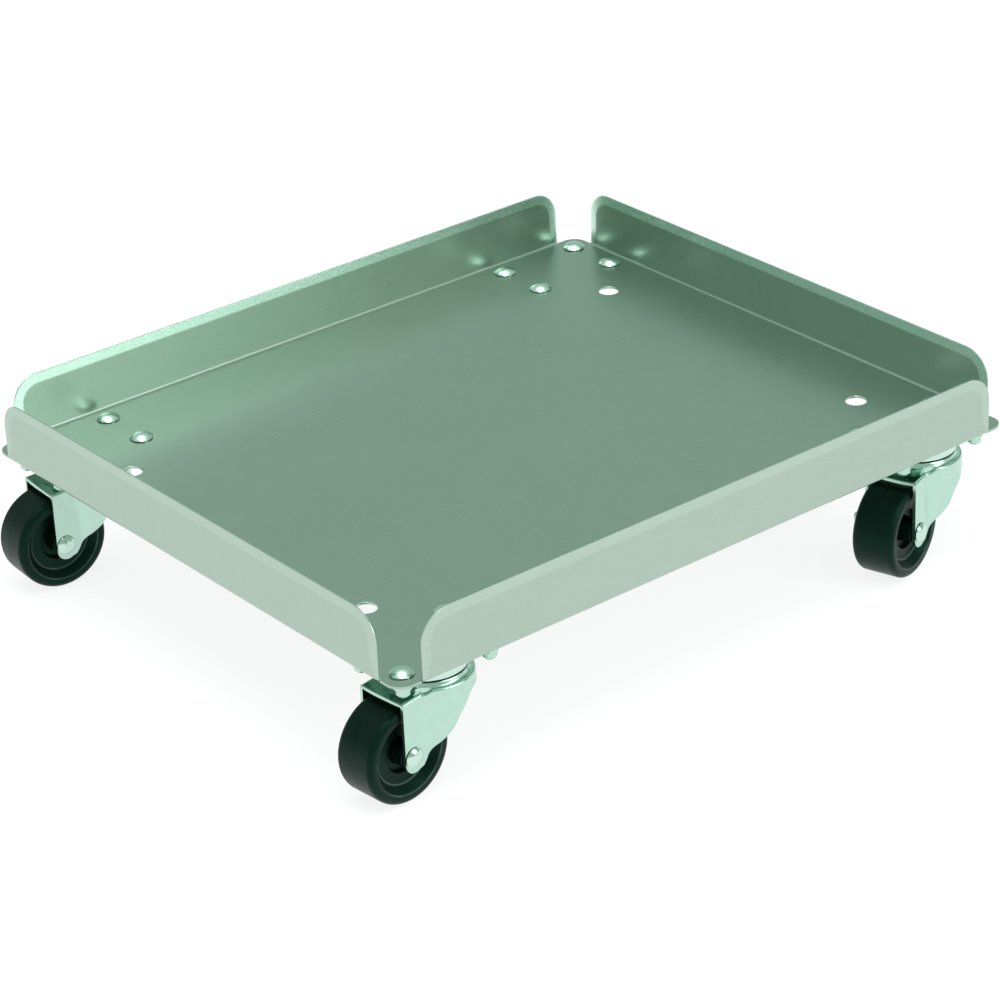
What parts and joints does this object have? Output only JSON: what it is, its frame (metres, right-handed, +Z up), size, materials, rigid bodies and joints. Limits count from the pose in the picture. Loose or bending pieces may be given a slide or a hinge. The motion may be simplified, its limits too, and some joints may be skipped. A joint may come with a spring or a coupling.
{
  "type": "drum dolly",
  "caption": "Low rectangular sheet-metal tray with upturned flanges and open corners, rolling on bolted swivel plate casters with solid wheels, for moving drums and pails.",
  "frame": {"origin": "on the ground, under the middle of the bounding box", "axes": "+X along the tray's long side, -Y toward the front, +Z up"},
  "size_m": [0.6212, 0.521, 0.1588],
  "materials": {
    "satin_sheet": "satin brushed, grain along the long side",
    "zinc_plate": "bright zinc plate",
    "bearing_steel": "ground steel",
    "wheel_plastic": "moulded black, soft sheen"
  },
  "bodies": {
    "tray_frame": {"tray": "satin_sheet", "bolt_front_left_1": "zinc_plate", "bolt_front_left_2": "zinc_plate", "bolt_front_left_3": "zinc_plate", "bolt_front_left_4": "zinc_plate", "nut_front_left_1": "zinc_plate", "nut_front_left_2": "zinc_plate", "nut_front_left_3": "zinc_plate", "nut_front_left_4": "zinc_plate", "top_plate_front_left": "zinc_plate", "kingpin_front_left": "bearing_steel", "bolt_front_right_1": "zinc_plate", "bolt_front_right_2": "zinc_plate", "bolt_front_right_3": "zinc_plate", "bolt_front_right_4": "zinc_plate", "nut_front_right_1": "zinc_plate", "nut_front_right_2": "zinc_plate", "nut_front_right_3": "zinc_plate", "nut_front_right_4": "zinc_plate", "top_plate_front_right": "zinc_plate", "kingpin_front_right": "bearing_steel", "bolt_rear_left_1": "zinc_plate", "bolt_rear_left_2": "zinc_plate", "bolt_rear_left_3": "zinc_plate", "bolt_rear_left_4": "zinc_plate", "nut_rear_left_1": "zinc_plate", "nut_rear_left_2": "zinc_plate", "nut_rear_left_3": "zinc_plate", "nut_rear_left_4": "zinc_plate", "top_plate_rear_left": "zinc_plate", "kingpin_rear_left": "bearing_steel", "bolt_rear_right_1": "zinc_plate", "bolt_rear_right_2": "zinc_plate", "bolt_rear_right_3": "zinc_plate", "bolt_rear_right_4": "zinc_plate", "nut_rear_right_1": "zinc_plate", "nut_rear_right_2": "zinc_plate", "nut_rear_right_3": "zinc_plate", "nut_rear_right_4": "zinc_plate", "top_plate_rear_right": "zinc_plate", "kingpin_rear_right": "bearing_steel"},
    "swivel_front_left": {"yoke_front_left": "zinc_plate", "ball_ring_front_left": "bearing_steel", "axle_front_left": "zinc_plate"},
    "wheel_front_left_body": {"wheel_front_left": "wheel_plastic"},
    "swivel_front_right": {"yoke_front_right": "zinc_plate", "ball_ring_front_right": "bearing_steel", "axle_front_right": "zinc_plate"},
    "wheel_front_right_body": {"wheel_front_right": "wheel_plastic"},
    "swivel_rear_left": {"yoke_rear_left": "zinc_plate", "ball_ring_rear_left": "bearing_steel", "axle_rear_left": "zinc_plate"},
    "wheel_rear_left_body": {"wheel_rear_left": "wheel_plastic"},
    "swivel_rear_right": {"yoke_rear_right": "zinc_plate", "ball_ring_rear_right": "bearing_steel", "axle_rear_right": "zinc_plate"},
    "wheel_rear_right_body": {"wheel_rear_right": "wheel_plastic"}
  },
  "joints": [
    {"name": "swivel_front_left_turn", "type": "hinge", "parent": "tray_frame", "child": "swivel_front_left", "pos_m": [-0.23575, -0.2174, 0], "axis": [0, 0, 1], "continuous": true},
    {"name": "wheel_front_left_spin", "type": "hinge", "parent": "swivel_front_left", "child": "wheel_front_left_body", "pos_m": [-0.27112, -0.22049, 0.0385], "axis": [0.0872, -0.9962, 0], "continuous": true},
    {"name": "swivel_front_right_turn", "type": "hinge", "parent": "tray_frame", "child": "swivel_front_right", "pos_m": [0.25305, -0.2174, 0], "axis": [0, 0, 1], "continuous": true},
    {"name": "wheel_front_right_spin", "type": "hinge", "parent": "swivel_front_right", "child": "wheel_front_right_body", "pos_m": [0.21906, -0.22766, 0.0385], "axis": [0.289, -0.9573, 0], "continuous": true},
    {"name": "swivel_rear_left_turn", "type": "hinge", "parent": "tray_frame", "child": "swivel_rear_left", "pos_m": [-0.23575, 0.2174, 0], "axis": [0, 0, 1], "continuous": true},
    {"name": "wheel_rear_left_spin", "type": "hinge", "parent": "swivel_rear_left", "child": "wheel_rear_left_body", "pos_m": [-0.27117, 0.21988, 0.0385], "axis": [-0.0698, -0.9976, 0], "continuous": true},
    {"name": "swivel_rear_right_turn", "type": "hinge", "parent": "tray_frame", "child": "swivel_rear_right", "pos_m": [0.25305, 0.2174, 0], "axis": [0, 0, 1], "continuous": true},
    {"name": "wheel_rear_right_spin", "type": "hinge", "parent": "swivel_rear_right", "child": "wheel_rear_right_body", "pos_m": [0.21809, 0.21124, 0.0385], "axis": [0.1736, -0.9848, 0], "continuous": true}
  ]
}
